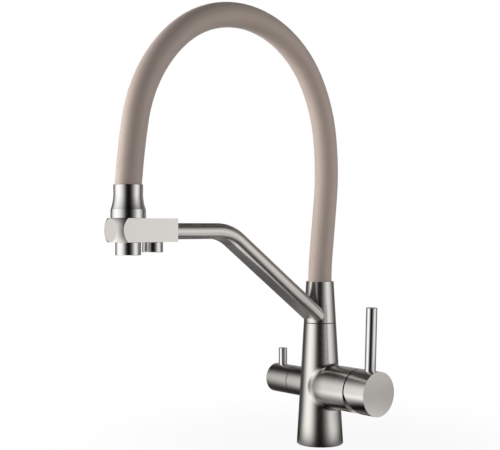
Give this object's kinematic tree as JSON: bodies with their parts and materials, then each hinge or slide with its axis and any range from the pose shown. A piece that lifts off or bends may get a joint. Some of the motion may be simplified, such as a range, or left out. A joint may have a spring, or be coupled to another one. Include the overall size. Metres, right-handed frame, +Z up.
{
  "type": "kitchen mixer tap",
  "caption": "Kitchen mixer with an arched silicone hose over a swivelling spout arm, a lever valve for hot and cold water and a small lever valve for filtered water.",
  "frame": {"origin": "middle of the base on the worktop", "axes": "+Z up the column, spout reaching towards -Y, mixer valve along +X, filtered water valve along -X"},
  "size_m": [0.1556, 0.2887, 0.4574],
  "materials": {
    "brushed_nickel": "satin brushed nickel",
    "polished_chrome": "polished",
    "plain_steel": "plain",
    "plain_brass": "machined",
    "taupe_silicone": "matt silicone",
    "black_rubber": "matt",
    "white_plastic": "moulded",
    "dark_plastic": "moulded",
    "ceramic": "ground"
  },
  "bodies": {
    "column": {"body_shell": "brushed_nickel", "base_gasket": "black_rubber", "slip_ring": "dark_plastic", "swivel_post": "plain_brass", "post_o_rings": "black_rubber", "cartridge_housing": "white_plastic", "cartridge_base": "white_plastic", "cartridge_base_seals": "black_rubber", "cartridge_fixed_disc": "ceramic", "cartridge_nut": "plain_brass", "cartridge_dome": "polished_chrome", "filter_bonnet": "plain_brass", "filter_seat_seal": "black_rubber", "filter_fixed_disc": "ceramic"},
    "mixer_turner": {"mixer_carrier": "white_plastic", "stem_pivot_pin": "plain_steel"},
    "mixer_slider": {"cartridge_moving_disc": "ceramic", "cartridge_disc_driver": "white_plastic"},
    "mixer_handle": {"mixer_stem": "plain_steel", "mixer_knob": "brushed_nickel", "mixer_lever": "polished_chrome", "mixer_grub_screw": "plain_steel"},
    "filter_handle": {"filter_turning_disc": "ceramic", "filter_spindle": "plain_brass", "filter_knob": "brushed_nickel", "filter_lever": "polished_chrome", "filter_grub_screw": "plain_steel"},
    "spout": {"swivel_cone": "brushed_nickel", "retaining_screw": "plain_steel", "arm_tube": "brushed_nickel", "filtered_water_tube": "white_plastic", "outlet_block": "brushed_nickel", "hose_root_fitting": "plain_brass", "spout_hose": "taupe_silicone", "hose_core": "plain_steel", "inner_hose": "dark_plastic", "hose_end_fitting": "plain_brass", "hose_collar": "polished_chrome", "aerator_housing": "polished_chrome", "aerator_insert": "dark_plastic", "aerator_seal": "black_rubber", "filtered_aerator_housing": "polished_chrome", "filtered_aerator_insert": "dark_plastic", "filtered_aerator_seal": "black_rubber"}
  },
  "joints": [
    {"name": "spout_swivel", "type": "hinge", "parent": "column", "child": "spout", "pos_m": [0, 0, 0.15], "axis": [0, 0, 1], "continuous": true},
    {"name": "mixer_temperature", "type": "hinge", "parent": "column", "child": "mixer_turner", "pos_m": [0.0475, 0, 0.063], "axis": [1, 0, 0], "range_deg": [-50, 50]},
    {"name": "mixer_flow", "type": "hinge", "parent": "mixer_turner", "child": "mixer_handle", "pos_m": [0.0475, 0, 0.063], "axis": [0, 1, 0], "range_deg": [0, 22]},
    {"name": "mixer_disc_slide", "type": "slide", "parent": "mixer_turner", "child": "mixer_slider", "axis": [0, 0, 1], "range_m": [0, 0.00431]},
    {"name": "filter_turn", "type": "hinge", "parent": "column", "child": "filter_handle", "pos_m": [-0.05, 0, 0.063], "axis": [1, 0, 0], "range_deg": [0, 90]}
  ],
  "couplings": [
    {"joint": "mixer_disc_slide", "follows": "mixer_flow", "m_per_rad": 0.010961}
  ]
}
